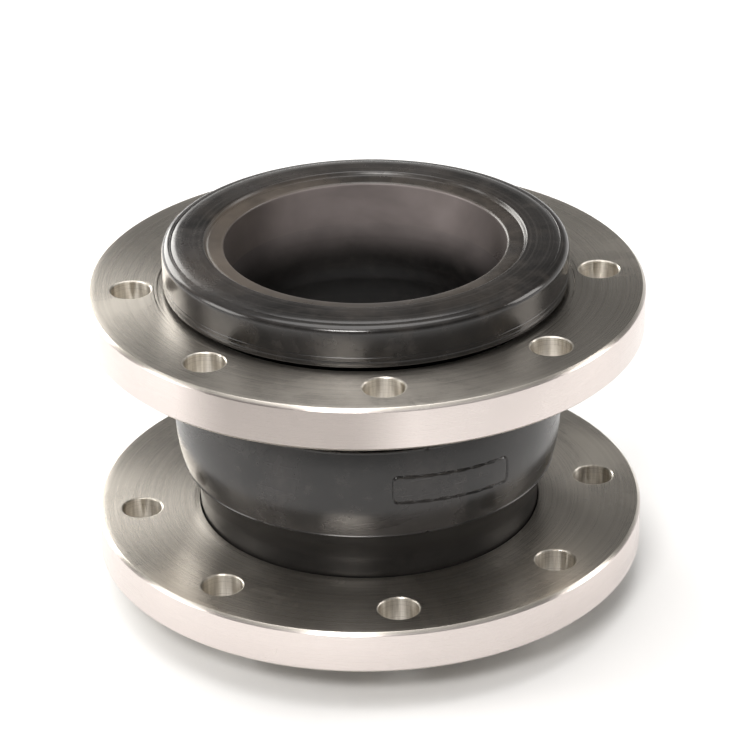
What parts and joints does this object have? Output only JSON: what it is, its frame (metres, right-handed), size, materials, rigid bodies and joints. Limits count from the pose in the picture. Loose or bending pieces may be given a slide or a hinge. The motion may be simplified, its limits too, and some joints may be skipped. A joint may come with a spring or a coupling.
{
  "type": "rubber expansion joint",
  "caption": "Single-arch flexible rubber pipe connector with bead-reinforced ends and loose drilled steel flanges, for taking up movement between pipes.",
  "frame": {"origin": "centre of the lower sealing face", "axes": "+Z along the pipe axis from the lower to the upper sealing face, +X through a bolt hole of the lower flange"},
  "size_m": [0.25, 0.25, 0.169],
  "materials": {
    "flange_steel": "turned, lightly oxidised",
    "cover_rubber": "moulded, satin",
    "bead_rubber": "moulded, satin",
    "tube_rubber": "moulded, matt",
    "filler_rubber": "hard compound",
    "ply_fabric": "rubbered nylon tyre fabric",
    "wrap_fabric": "rubbered nylon tape",
    "bead_wire": "brass-coated steel wire"
  },
  "bodies": {
    "lower_end": {"lower_bead_collar": "bead_rubber", "lower_bead_wire": "bead_wire", "lower_bead_wrap": "wrap_fabric", "lower_bead_filler": "filler_rubber", "inner_tube": "tube_rubber"},
    "arch_foot": {"fabric_ply_inner": "ply_fabric"},
    "arch_low": {"outer_cover": "cover_rubber"},
    "arch_high": {"fabric_ply_middle": "ply_fabric"},
    "arch_top": {"fabric_ply_outer": "ply_fabric"},
    "upper_end": {"upper_bead_collar": "bead_rubber", "upper_bead_wire": "bead_wire", "upper_bead_wrap": "wrap_fabric", "upper_bead_filler": "filler_rubber"},
    "lower_flange": {"lower_flange": "flange_steel"},
    "upper_flange": {"upper_flange": "flange_steel"}
  },
  "joints": [
    {"name": "lower_tilt_x", "type": "hinge", "parent": "lower_end", "child": "arch_foot", "pos_m": [0, 0, 0.04], "axis": [1, 0, 0], "range_deg": [-5.3, 5.3], "stiffness_Nm_per_rad": 300, "deforming": ["fabric_ply_inner"]},
    {"name": "lower_tilt_y", "type": "hinge", "parent": "arch_foot", "child": "arch_low", "pos_m": [0, 0, 0.04], "axis": [0, 1, 0], "range_deg": [-5.3, 5.3], "stiffness_Nm_per_rad": 300, "deforming": ["outer_cover"]},
    {"name": "axial_travel", "type": "slide", "parent": "arch_low", "child": "arch_high", "axis": [0, 0, 1], "range_m": [-0.018, 0.012], "stiffness_N_per_m": 80000, "deforming": ["fabric_ply_middle", "inner_tube"]},
    {"name": "upper_tilt_y", "type": "hinge", "parent": "arch_high", "child": "arch_top", "pos_m": [0, 0, 0.129], "axis": [0, 1, 0], "range_deg": [-5.3, 5.3], "stiffness_Nm_per_rad": 300, "deforming": ["fabric_ply_outer"]},
    {"name": "upper_tilt_x", "type": "hinge", "parent": "arch_top", "child": "upper_end", "pos_m": [0, 0, 0.129], "axis": [1, 0, 0], "range_deg": [-5.3, 5.3], "stiffness_Nm_per_rad": 300},
    {"name": "lower_flange_swivel", "type": "hinge", "parent": "lower_end", "child": "lower_flange", "pos_m": [0, 0, 0.0293], "axis": [0, 0, 1], "continuous": true},
    {"name": "upper_flange_swivel", "type": "hinge", "parent": "upper_end", "child": "upper_flange", "pos_m": [0, 0, 0.1377], "axis": [0, 0, 1], "continuous": true}
  ]
}
